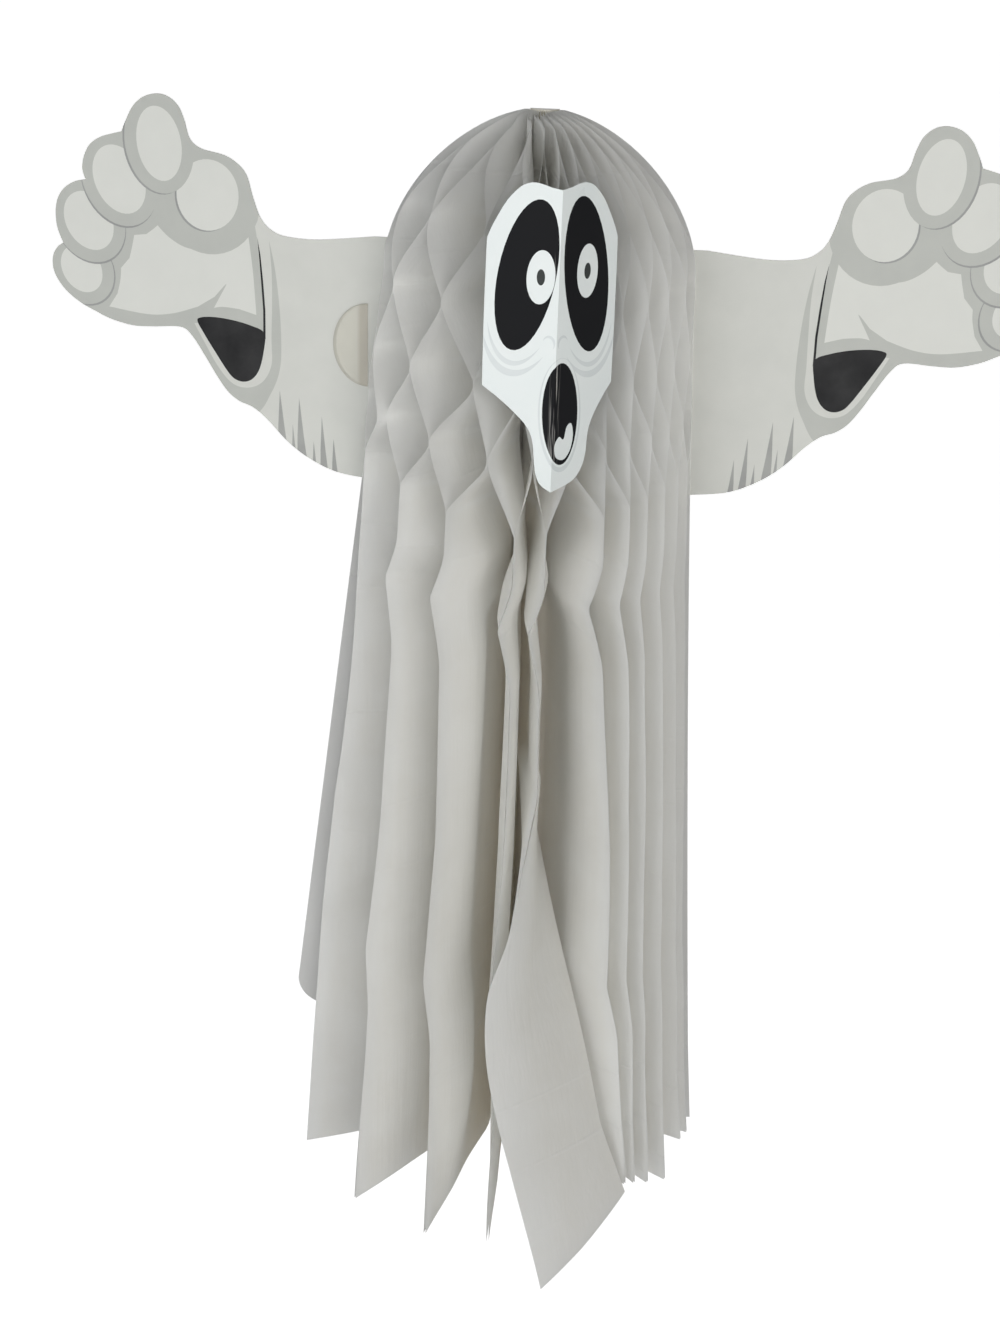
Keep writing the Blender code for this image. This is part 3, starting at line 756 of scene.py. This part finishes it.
def add_arm_card(materials):
    """One card band behind the fan with both arms and the printed hands."""
    arm = [(CREASE + reach, ARM_TOP + rise) for reach, rise in hand_outline()]
    outline = arm + [(-x, z) for x, z in reversed(arm)]
    fields = []
    for side in (1.0, -1.0):
        for ink, loop in hand_print():
            placed = [(side * (CREASE + 0.001 * x), ARM_TOP + 0.001 * y) for x, y in loop]
            fields.append((ARM_INKS.index(ink), placed))
    folds = [((x, ARM_TOP), (x, ARM_TOP - ARM_WIDTH)) for x in (CREASE, -CREASE)]
    plate = printed_plate(outline, folds, fields)
    card = plate_mesh("printed_arm_card", plate, place_arm, CARD, materials, 0)
    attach(card, "root")
    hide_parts("arm_card")


def face_outline(chin):
    """Half of the face card: distance from the crease and height. chin is how far the chin reaches."""
    half = FACE_HALF
    top = FACE_TOP
    cheek = FACE_BOTTOM + CHEEK_RISE
    brow = [(0.0, top - 0.0022), (0.14 * half, top - 0.0015), (0.29 * half, top - 0.0002)]
    brow += [(0.41 * half, top), (0.55 * half, top - 0.0019), (0.71 * half, top - 0.0072)]
    brow += [(0.84 * half, top - 0.0140), (0.96 * half, top - 0.0220), (0.985 * half, top - 0.0280)]
    brow += [(half, top - 0.0600), (half, cheek)]
    jaw = [(half, cheek), (mix(half, chin, 0.28), cheek - 0.0045), (mix(half, chin, 0.60), cheek - 0.0105)]
    jaw += [(mix(half, chin, 0.85), cheek - 0.0165), (mix(half, chin, 0.96), cheek - 0.0225)]
    jaw += [(chin, cheek - 0.0300), (0.88 * chin, FACE_BOTTOM + 0.0080), (0.60 * chin, FACE_BOTTOM + 0.0030)]
    jaw += [(0.0, FACE_BOTTOM)]
    return curve_through(brow, closed=False, steps=4)[:-1] + curve_through(jaw, closed=False, steps=4)


def face_print():
    """The printed fields of the face in millimetres: across from the crease, up from the chin."""
    fields = []
    for side, eye, ring in ((-1.0, (-14.2, 93.5, 12.6, 32.5, 10.5), (-8.0, 93.5, 6.2, 11.4, 4.0)),
                            (1.0, (15.2, 93.5, 12.2, 33.5, -8.0), (15.6, 95.3, 5.8, 11.4, 0.0))):
        for drop, grow, thick in ((4.0, 3.6, 2.2), (5.5, 6.4, 3.0)):
            bag = (eye[0], eye[1] - drop, eye[2] + grow, eye[3] + grow - 2.0, eye[4])
            start = 215.0 if side < 0.0 else 225.0
            fields.append(("soft", crescent(bag, thick, start, start + 100.0)))
        fields.append(("black", oval(*eye)))
        fields.append(("coated", oval(*ring)))
        fields.append(("iris", oval(ring[0], ring[1], 1.8, 3.4)))
        start = 20.0 if side > 0.0 else -40.0
        nostril = (side * 3.6, 65.5, 2.6, 3.2, 0.0)
        fields.append(("soft", crescent(nostril, 1.2, start, start + 200.0)))
    fields.append(("soft", oval(4.2, 34.0, 11.2, 25.6, -3.0)))
    fields.append(("coated", oval(4.2, 35.0, 10.4, 24.4, -3.0)))
    fields.append(("black", oval(4.2, 34.5, 9.4, 22.8, -3.0)))
    tongue = [(2.2, 15.6), (1.2, 21.0), (3.6, 24.6), (6.2, 23.2), (7.8, 28.6)]
    tongue += [(10.4, 29.6), (11.6, 24.0), (10.2, 17.6), (6.6, 13.9)]
    fields.append(("coated", curve_through(tongue)))
    return fields


FACE_INKS = ("coated", "black", "soft", "iris")


def face_ridge():
    """Directions of the two halves, the place of their crease and the way from it into the card."""
    left_turn = math.radians(FACE_LEFT_TURN)
    right_turn = math.radians(FACE_RIGHT_TURN)
    edge_x = FACE_X + FACE_HALF * math.cos(right_turn)
    seat_radius = outline_radius(FACE_BOTTOM + CHEEK_RISE) + 0.5 * TISSUE + CARD_GAP
    edge_y = -math.sqrt(seat_radius ** 2 - edge_x ** 2) - CARD
    ridge = Vector((FACE_X, edge_y - FACE_HALF * math.sin(right_turn)))
    left_way = Vector((-math.cos(left_turn), math.sin(left_turn)))
    right_way = Vector((math.cos(right_turn), math.sin(right_turn)))
    return ridge, left_way, right_way


def add_face_card(materials):
    """The face, folded forward along its middle line."""
    outline = face_outline(CHIN_RIGHT) + [(-x, z) for x, z in reversed(face_outline(CHIN_LEFT)[1:-1])]
    fields = []
    for ink, loop in face_print():
        fields.append((FACE_INKS.index(ink), [(0.001 * x, FACE_BOTTOM + 0.001 * y) for x, y in loop]))
    plate = printed_plate(outline, [((0.0, FACE_TOP), (0.0, FACE_BOTTOM))], fields)
    ridge, left_way, right_way = face_ridge()
    bisector = (left_way + right_way).normalized()
    half_angle = 0.5 * math.acos(left_way.dot(right_way))

    def place_face(x, z, depth):
        way = right_way if x > 0.0 else left_way
        normal = Vector((-way.y, way.x)) if x > 0.0 else Vector((way.y, -way.x))
        if abs(x) < 1e-6:
            point = ridge + bisector * (depth / math.sin(half_angle))
        else:
            point = ridge + way * abs(x) + normal * depth
        return Vector((point.x, point.y, z))

    card = plate_mesh("printed_face_card", plate, place_face, CARD, materials, 0)
    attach(card, "root")
    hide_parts("face_card")


def add_seal(materials):
    """Half of a clear round seal, with a painted shade line along its rim."""
    start = CREASE + SEAL_MARGIN
    middle = ARM_TOP - SEAL_DROP
    front = -CARD_GAP - SEAL_THICK
    turns = [math.pi * (step / 40 - 0.5) for step in range(41)]
    outline = [(start + SEAL_REACH * math.cos(turn), middle + SEAL_RADIUS * math.sin(turn)) for turn in turns]
    rim = 0.0014
    body = [(start + (SEAL_REACH - rim) * math.cos(turn), middle + (SEAL_RADIUS - 0.4 * rim) * math.sin(turn))
            for turn in turns]
    body += [(start - rim, middle + SEAL_RADIUS), (start - rim, middle - SEAL_RADIUS)]
    flipped = [(-x, z) for x, z in outline]
    fields = [(1, flipped), (0, [(-x, z) for x, z in body])]
    plate = printed_plate(flipped, [], fields)

    def place_seal(x, z, depth):
        return bend_back(x, CARD_FRONT + front + depth, z, -1, LEFT_BEND)

    seal = plate_mesh("clear_seal_remnant", plate, place_seal, SEAL_THICK, materials, 0)
    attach(seal, "root")
    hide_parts("seal_remnant")


class Nodes:
    """Short way to write a material's node tree."""

    def __init__(self, name):
        self.material = bpy.data.materials.new(name)
        self.material.use_nodes = True
        self.tree = self.material.node_tree
        self.shader = self.tree.nodes["Principled BSDF"]
        self.output = self.tree.nodes["Material Output"]

    def add(self, kind, inputs=None, **settings):
        node = self.tree.nodes.new(kind)
        for key, value in settings.items():
            setattr(node, key, value)
        for key, value in (inputs or {}).items():
            self.set(node.inputs[key], value)
        return node

    def set(self, socket, value):
        if isinstance(value, bpy.types.NodeSocket):
            self.tree.links.new(value, socket)
        else:
            socket.default_value = value

    def math(self, operation, first, second=0.0, clamp=False):
        node = self.add("ShaderNodeMath", {0: first, 1: second}, operation=operation, use_clamp=clamp)
        return node.outputs[0]

    def mix_colour(self, share, first, second, blend="MIX"):
        node = self.add("ShaderNodeMix", data_type="RGBA", blend_type=blend)
        self.set(node.inputs[0], share)
        self.set(node.inputs[6], first)
        self.set(node.inputs[7], second)
        return node.outputs[2]

    def place(self, scale=(1.0, 1.0, 1.0)):
        coordinates = self.add("ShaderNodeTexCoord").outputs["Object"]
        return self.add("ShaderNodeMapping", {"Vector": coordinates, "Scale": scale}).outputs[0]

    def noise(self, scale, detail=3.0, stretch=(1.0, 1.0, 1.0)):
        inputs = {"Vector": self.place(stretch), "Scale": scale, "Detail": detail}
        return self.add("ShaderNodeTexNoise", inputs).outputs["Fac"]

    def ramp(self, value, low, high):
        inputs = {"Value": value, "From Min": low, "From Max": high}
        return self.add("ShaderNodeMapRange", inputs).outputs[0]

    def bump(self, height, strength, distance):
        inputs = {"Height": height, "Strength": strength, "Distance": distance}
        return self.add("ShaderNodeBump", inputs).outputs[0]


def rgb(red, green, blue):
    return (red, green, blue, 1.0)


def tissue_material():
    """Thin white tissue: diffuse and translucent, with fibres, faint pleats and lighter glue lines, painted
    highlights on the cut edges, the bands inside them and the creases, and warm painted shade deep inside the
    leaves.
    """
    m = Nodes("white_tissue")
    cloud = m.noise(38.0, 2.0)
    fibre = m.noise(420.0, 4.0, (1.0, 1.0, 0.35))
    pleat = m.noise(260.0, 2.0, (1.0, 1.0, 0.03))
    glue = m.add("ShaderNodeAttribute", attribute_name="glue_mark").outputs["Fac"]
    cut = m.add("ShaderNodeAttribute", attribute_name="cut_edge_highlight").outputs["Fac"]
    depth = m.add("ShaderNodeAttribute", attribute_name="edge_depth").outputs["Fac"]
    colour = m.mix_colour(m.ramp(cloud, 0.35, 0.65), rgb(0.92, 0.913, 0.885), rgb(0.94, 0.937, 0.915))
    # Painted shade: warm tan deep inside the leaves, where the gaps between them lie in shade.
    colour = m.mix_colour(m.ramp(depth, 0.035, 0.065), colour, rgb(0.915, 0.885, 0.82))
    colour = m.mix_colour(m.math("MULTIPLY", m.ramp(fibre, 0.50, 0.75), 0.25), colour, rgb(0.95, 0.95, 0.945))
    # Painted light: a lighter band just inside each cut edge, where the neighbouring leaves shade it less.
    band = m.math("SUBTRACT", 1.0, m.ramp(depth, 0.004, 0.010))
    light = m.math("MAXIMUM", m.math("MULTIPLY", glue, 0.50), m.math("MULTIPLY", band, 0.45))
    crease = skirt_crease(m)
    # Painted highlight: the creases are lighter where the paper bends towards the light.
    light = m.math("MAXIMUM", light, m.math("MULTIPLY", crease, 0.30))
    # Painted highlight: the cut edge of each leaf is lighter.
    light = m.math("MAXIMUM", light, cut)
    # The glue lines are lighter in their own colour; the band, crease and cut edge light mixed in here is
    # painted light.
    colour = m.mix_colour(light, colour, rgb(0.96, 0.965, 0.96))
    height = m.math("ADD", m.math("MULTIPLY", fibre, 0.20), m.math("MULTIPLY", pleat, 0.80))
    height = m.math("ADD", height, m.math("MULTIPLY", crease, 0.80))
    normal = m.bump(height, 0.45, 0.0006)
    m.set(m.shader.inputs["Base Color"], colour)
    m.set(m.shader.inputs["Normal"], normal)
    m.shader.inputs["Roughness"].default_value = 0.85
    m.shader.inputs["Specular IOR Level"].default_value = 0.25
    through = m.add("ShaderNodeBsdfTranslucent", {"Color": colour, "Normal": normal}).outputs[0]
    both = m.add("ShaderNodeMixShader", {0: 0.50, 1: m.shader.outputs[0], 2: through}).outputs[0]
    m.set(m.output.inputs["Surface"], both)
    return m.material


def skirt_crease(m):
    """Faint level creases at the pitch of the glue lines, patchy and slightly wavy."""
    height = m.add("ShaderNodeSeparateXYZ", {0: m.place()}).outputs[2]
    wavy = m.math("ADD", height, m.math("MULTIPLY", m.noise(14.0, 1.0), 0.012))
    step = m.math("FRACT", m.math("DIVIDE", wavy, GLUE_PITCH))
    away = m.math("ABSOLUTE", m.math("SUBTRACT", step, 0.5))
    line = m.math("SUBTRACT", 1.0, m.ramp(away, 0.0, 0.035))
    return m.math("MULTIPLY", line, m.ramp(m.noise(9.0, 1.0), 0.45, 0.65))


def glue_material():
    m = Nodes("set_glue")
    cloud = m.noise(180.0, 3.0)
    colour = m.mix_colour(cloud, rgb(0.70, 0.66, 0.54), rgb(0.80, 0.78, 0.70))
    m.set(m.shader.inputs["Base Color"], colour)
    m.set(m.shader.inputs["Normal"], m.bump(cloud, 0.4, 0.0006))
    m.shader.inputs["Roughness"].default_value = 0.38
    return m.material


def card_material(name, colour, other, roughness, bump=0.15, coat=0.0, shine=0.5):
    """Printed or bare card: a soft mottle, fine paper tooth and slightly uneven gloss."""
    m = Nodes(name)
    cloud = m.noise(60.0, 4.0)
    tooth = m.noise(1500.0, 3.0)
    mottle = m.mix_colour(m.ramp(cloud, 0.30, 0.70), rgb(*colour), rgb(*other))
    m.set(m.shader.inputs["Base Color"], mottle)
    m.set(m.shader.inputs["Normal"], m.bump(tooth, bump, 0.0001))
    gloss = m.math("ADD", m.math("MULTIPLY", cloud, 0.12), roughness - 0.06)
    m.set(m.shader.inputs["Roughness"], gloss)
    m.shader.inputs["Specular IOR Level"].default_value = shine
    m.shader.inputs["Coat Weight"].default_value = coat
    m.shader.inputs["Coat Roughness"].default_value = 0.12
    return m.material


def face_ink_material():
    """Glossy black ink, with a painted highlight in fine upright streaks along the crease, where the fold
    stands forward.
    """
    m = Nodes("face_ink")
    cloud = m.noise(60.0, 4.0)
    across = m.add("ShaderNodeSeparateXYZ", {0: m.place()}).outputs[0]
    away = m.math("ABSOLUTE", m.math("SUBTRACT", across, FACE_X))
    near = m.add("ShaderNodeMapRange", {"Value": away, "From Min": 0.0006, "From Max": 0.0024,
                                        "To Min": 1.0, "To Max": 0.0}).outputs[0]
    highlight_streaks = m.ramp(m.noise(900.0, 3.0, (1.0, 1.0, 0.035)), 0.50, 0.62)
    ridge_highlight = m.math("MULTIPLY", near, highlight_streaks)
    dark = m.mix_colour(cloud, rgb(0.003, 0.0035, 0.005), rgb(0.006, 0.006, 0.007))
    # Painted highlight: the ink turns light grey along the ridge of the fold.
    m.set(m.shader.inputs["Base Color"], m.mix_colour(ridge_highlight, dark, rgb(0.45, 0.44, 0.42)))
    m.shader.inputs["Specular IOR Level"].default_value = 0.08
    m.set(m.shader.inputs["Normal"], m.bump(m.noise(1500.0, 3.0), 0.05, 0.0001))
    m.set(m.shader.inputs["Roughness"], m.math("ADD", m.math("MULTIPLY", cloud, 0.10), 0.30))
    return m.material


def film_material(name, cover, shade=1.0):
    """Aged clear film: cream and see-through, with tan painted shade where it wraps into the crease, and
    painted shade over it all when shade is below 1.
    """
    m = Nodes(name)
    cloud = m.noise(120.0, 4.0)
    across = m.add("ShaderNodeSeparateXYZ", {0: m.place()}).outputs[0]
    fold = m.ramp(across, -CREASE - 0.0085, -CREASE - 0.0065)
    cream = m.mix_colour(cloud, rgb(0.80, 0.78, 0.69), rgb(0.84, 0.82, 0.74))
    # Painted shade: tan towards the crease, where the film lies in shadow.
    film = m.mix_colour(fold, cream, rgb(0.66, 0.62, 0.53))
    # Painted shade: shade below 1 darkens the film, as on the rim line of the seal.
    m.set(m.shader.inputs["Base Color"], m.mix_colour(1.0 - shade, film, rgb(0.20, 0.19, 0.15)))
    m.set(m.shader.inputs["Normal"], m.bump(cloud, 0.2, 0.0003))
    m.shader.inputs["Roughness"].default_value = 0.28
    m.shader.inputs["Alpha"].default_value = cover
    return m.material


def make_camera():
    """The photograph's viewpoint: turned a little left, looking down, almost level."""
    camera = bpy.data.cameras.new("camera")
    camera.sensor_fit = "VERTICAL"
    camera.sensor_height = 36.0
    camera.lens = 49.09
    camera.clip_start = 0.05
    camera.clip_end = 100.0
    thing = bpy.data.objects.new("camera", camera)
    turn = Matrix.Rotation(math.radians(3.3282), 4, "Z")
    look_down = Matrix.Rotation(math.radians(90.0 - 23.623), 4, "X")
    roll = Matrix.Rotation(math.radians(1.8256), 4, "Z")
    place = Matrix.Translation((0.03706, -0.84819, 0.65280 - HANG_HEIGHT))
    thing.matrix_world = place @ turn @ look_down @ roll
    bpy.context.scene.collection.objects.link(thing)
    bpy.context.scene.camera = thing


def make_floor():
    """Pale floor well below the hem. To the camera it is white, and it keeps the shadow."""
    m = Nodes("floor")
    m.shader.inputs["Roughness"].default_value = 0.9
    m.shader.inputs["Base Color"].default_value = rgb(0.80, 0.80, 0.80)
    path = m.add("ShaderNodeLightPath")
    seen = m.math("MAXIMUM", path.outputs["Is Camera Ray"], path.outputs["Is Glossy Ray"])
    clear = m.math("MULTIPLY", path.outputs["Is Transmission Ray"], path.outputs["Is Singular Ray"])
    seen = m.math("MAXIMUM", seen, clear)
    strength = m.math("MULTIPLY", seen, FLOOR_WHITE)
    glow = m.add("ShaderNodeEmission", {"Color": rgb(1.0, 1.0, 1.0), "Strength": strength})
    both = m.add("ShaderNodeAddShader", {0: m.shader.outputs[0], 1: glow.outputs[0]}).outputs[0]
    m.set(m.output.inputs["Surface"], both)
    sides = ((-1.0, -1.0), (1.0, -1.0), (1.0, 1.0), (-1.0, 1.0))
    corners = [Vector((x * FLOOR_HALF, y * FLOOR_HALF, FLOOR_LEVEL + HANG_HEIGHT)) for x, y in sides]
    floor = add_mesh("floor", corners, [(0, 1, 2, 3)], [m.material])


def make_world():
    """White to the eye, in mirrors and through clear things, soft for lighting.

    Light that tissue lets through counts as transmission too, so only clear transmission sees the white.
    """
    world = bpy.data.worlds.new("studio")
    bpy.context.scene.world = world
    world.use_nodes = True
    tree = world.node_tree
    backdrop = tree.nodes["Background"]
    backdrop.inputs["Color"].default_value = rgb(1.0, 1.0, 1.0)
    ambient = tree.nodes.new("ShaderNodeBackground")
    ambient.inputs["Color"].default_value = rgb(0.99, 0.99, 0.98)
    ambient.inputs["Strength"].default_value = 0.12
    path = tree.nodes.new("ShaderNodeLightPath").outputs

    def combine(operation, first, second):
        node = tree.nodes.new("ShaderNodeMath")
        node.operation = operation
        tree.links.new(first, node.inputs[0])
        tree.links.new(second, node.inputs[1])
        return node.outputs[0]

    seen = combine("MAXIMUM", path["Is Camera Ray"], path["Is Glossy Ray"])
    clear = combine("MULTIPLY", path["Is Transmission Ray"], path["Is Singular Ray"])
    either = tree.nodes.new("ShaderNodeMixShader")
    tree.links.new(combine("MAXIMUM", seen, clear), either.inputs[0])
    tree.links.new(ambient.outputs[0], either.inputs[1])
    tree.links.new(backdrop.outputs[0], either.inputs[2])
    tree.links.new(either.outputs[0], tree.nodes["World Output"].inputs["Surface"])


def add_lamp(name, place, target, size, power, colour):
    lamp = bpy.data.lights.new(name, "AREA")
    lamp.shape = "DISK"
    lamp.size = size
    lamp.energy = power
    lamp.color = colour
    thing = bpy.data.objects.new(name, lamp)
    place = Vector(place)
    thing.location = place
    thing.rotation_euler = (place - Vector(target)).to_track_quat("Z", "Y").to_euler()
    bpy.context.scene.collection.objects.link(thing)


def main():
    make_camera()
    make_world()
    make_floor()
    middle = (0.0, -0.05, -0.25)
    add_lamp("key", (0.7, -2.1, -0.1), middle, 1.8, 25.0, (1.0, 0.994, 0.980))
    add_lamp("fill", (-1.2, -1.8, 0.0), middle, 1.8, 16.0, (0.96, 0.98, 1.0))
    bpy.context.scene.view_settings.view_transform = "Standard"
    tissue = tissue_material()
    for sheet in range(SHEETS):
        add_leaf(sheet, tissue)
    card = card_material("white_card", (0.600, 0.607, 0.570), (0.633, 0.638, 0.600), 0.55)
    grey = card_material("grey_print", (0.450, 0.461, 0.432), (0.486, 0.497, 0.464), 0.55)
    pale = card_material("pale_print", (0.665, 0.672, 0.633), (0.690, 0.697, 0.657), 0.55)
    black = card_material("black_print", (0.008, 0.008, 0.009), (0.030, 0.030, 0.031), 0.50, shine=0.12)
    line = card_material("line_print", (0.26, 0.265, 0.26), (0.33, 0.335, 0.325), 0.55)
    streaks = card_material("streak_print", (0.29, 0.295, 0.285), (0.37, 0.375, 0.36), 0.55)
    add_arm_card([card, grey, pale, black, line, streaks])
    coated = card_material("coated_card", (0.76, 0.81, 0.80), (0.79, 0.83, 0.82), 0.30, 0.05, 0.4)
    ink = face_ink_material()
    soft = card_material("soft_print", (0.62, 0.67, 0.67), (0.68, 0.72, 0.72), 0.30, 0.05, 0.4)
    iris = card_material("iris_print", (0.030, 0.034, 0.034), (0.045, 0.05, 0.048), 0.30, 0.05, shine=0.12)
    add_face_card([coated, ink, soft, iris])
    add_seal([film_material("aged_film", 0.42), film_material("film_rim", 0.85, 0.45)])
    glue = glue_material()
    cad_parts["spine_glue_bead"].data.materials.clear()
    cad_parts["spine_glue_bead"].data.materials.append(glue)


main()
